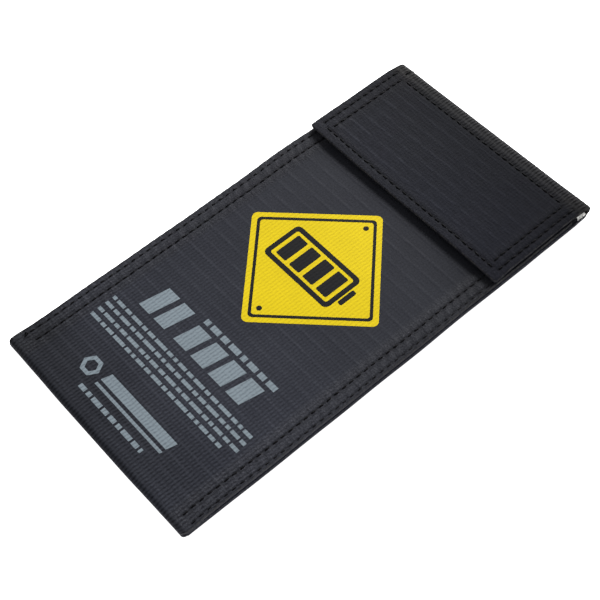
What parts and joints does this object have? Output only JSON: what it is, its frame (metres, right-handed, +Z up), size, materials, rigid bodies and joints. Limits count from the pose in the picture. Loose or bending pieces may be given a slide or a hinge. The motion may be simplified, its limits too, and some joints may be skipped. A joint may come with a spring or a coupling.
{
  "type": "lipo safe bag",
  "caption": "Flat rectangular sewn pouch of black coated cloth with a lined pocket, a full-width hook-and-loop flap and a printed yellow diamond.",
  "frame": {"origin": "middle of the back face, on the surface the closed bag lies on", "axes": "+X across the width, +Y from the bottom fold to the flap's fold, +Z up out of the front"},
  "size_m": [0.104, 0.2, 0.0062],
  "materials": {
    "coated_cloth": "black coated glass-fibre cloth with fine lengthwise ribs and a dull sheen",
    "glass_lining": "plain white glass-fibre weave",
    "thread": "black bonded sewing thread",
    "loop_pile": "soft black loop pile",
    "hook_pile": "stiff black moulded hooks",
    "yellow_ink": "opaque yellow screen print",
    "black_ink": "black screen print",
    "grey_ink": "blue-grey screen print"
  },
  "bodies": {
    "pouch": {"back_panel": "coated_cloth", "back_lining": "glass_lining", "front_panel": "coated_cloth", "front_lining": "glass_lining", "bottom_fold": "coated_cloth", "bottom_fold_lining": "glass_lining", "mouth_hem": "coated_cloth", "left_back_hem": "coated_cloth", "left_front_hem": "coated_cloth", "right_back_hem": "coated_cloth", "right_front_hem": "coated_cloth", "left_outer_stitching": "thread", "left_inner_stitching": "thread", "right_outer_stitching": "thread", "right_inner_stitching": "thread", "mouth_stitching": "thread", "loop_tape": "loop_pile", "loop_tape_stitching": "thread", "yellow_print": "yellow_ink", "black_print": "black_ink", "grey_print": "grey_ink"},
    "spine": {"fold_cloth": "coated_cloth", "fold_lining": "glass_lining"},
    "flap": {"flap_panel": "coated_cloth", "flap_lining": "glass_lining", "flap_front_hem": "coated_cloth", "flap_left_hem": "coated_cloth", "flap_right_hem": "coated_cloth", "hook_tape": "hook_pile", "flap_box_stitching": "thread", "flap_side_stitching": "thread"}
  },
  "joints": [
    {"name": "lower_fold", "type": "hinge", "parent": "pouch", "child": "spine", "pos_m": [0, 0.09937, 0.00063], "axis": [-1, 0, 0], "range_deg": [0, 90]},
    {"name": "flap_fold", "type": "hinge", "parent": "spine", "child": "flap", "pos_m": [0, 0.09937, 0.00527], "axis": [-1, 0, 0], "range_deg": [0, 90]}
  ],
  "couplings": [
    {"joint": "lower_fold", "follows": "flap_fold", "ratio": 1}
  ]
}
